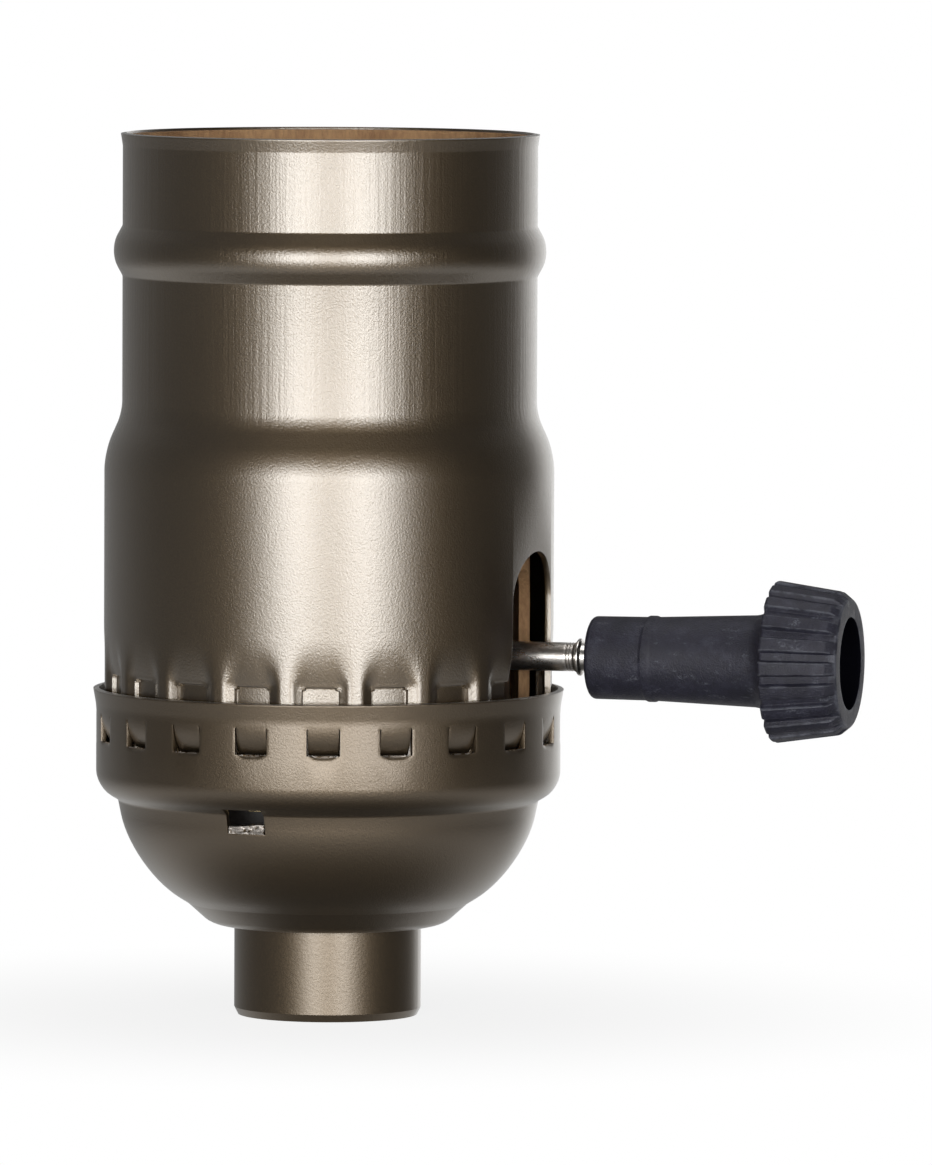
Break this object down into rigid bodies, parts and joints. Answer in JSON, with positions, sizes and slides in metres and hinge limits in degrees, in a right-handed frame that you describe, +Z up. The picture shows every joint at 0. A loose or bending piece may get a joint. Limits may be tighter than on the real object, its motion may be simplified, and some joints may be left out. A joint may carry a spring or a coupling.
{
  "type": "lamp holder",
  "caption": "Turn-knob lamp holder: two-part bronze metal shell over moulded insulators, screw shell for the lamp, side knob and threaded hub.",
  "frame": {"origin": "centre of the threaded hub's lower face", "axes": "+Z up the holder towards the lamp, +X along the switch stem towards the knob"},
  "size_m": [0.0613, 0.0374, 0.0701],
  "materials": {
    "bronze_paint": "antique bronze, satin",
    "fibre": "vulcanised fibre, dull",
    "phenolic": "moulded, matte",
    "knob_plastic": "moulded, lightly scuffed",
    "brass": "stamped sheet",
    "nickel": "plated",
    "screw_metal": "rolled sheet",
    "steel": "zinc plated"
  },
  "bodies": {
    "holder": {"outer_shell": "bronze_paint", "cap": "bronze_paint", "threaded_hub": "bronze_paint", "shell_liner": "fibre", "cap_liner": "fibre", "screw_shell": "screw_metal", "upper_body": "phenolic", "lower_body": "phenolic", "centre_contact": "brass", "centre_rivet": "brass", "fixed_contact": "brass", "contact_tips": "nickel", "contact_blade": "brass", "blade_rivet": "brass", "detent_spring": "steel", "neutral_strap": "screw_metal", "line_plate": "brass", "neutral_screw": "nickel", "line_screw": "brass", "body_rivets": "steel"},
    "switch": {"stem": "nickel", "rotor": "phenolic", "knob": "knob_plastic"}
  },
  "joints": [
    {"name": "knob_turn", "type": "hinge", "parent": "holder", "child": "switch", "pos_m": [0, 0, 0.0289], "axis": [1, 0, 0], "continuous": true, "deforming": ["detent_spring", "contact_blade"]}
  ]
}
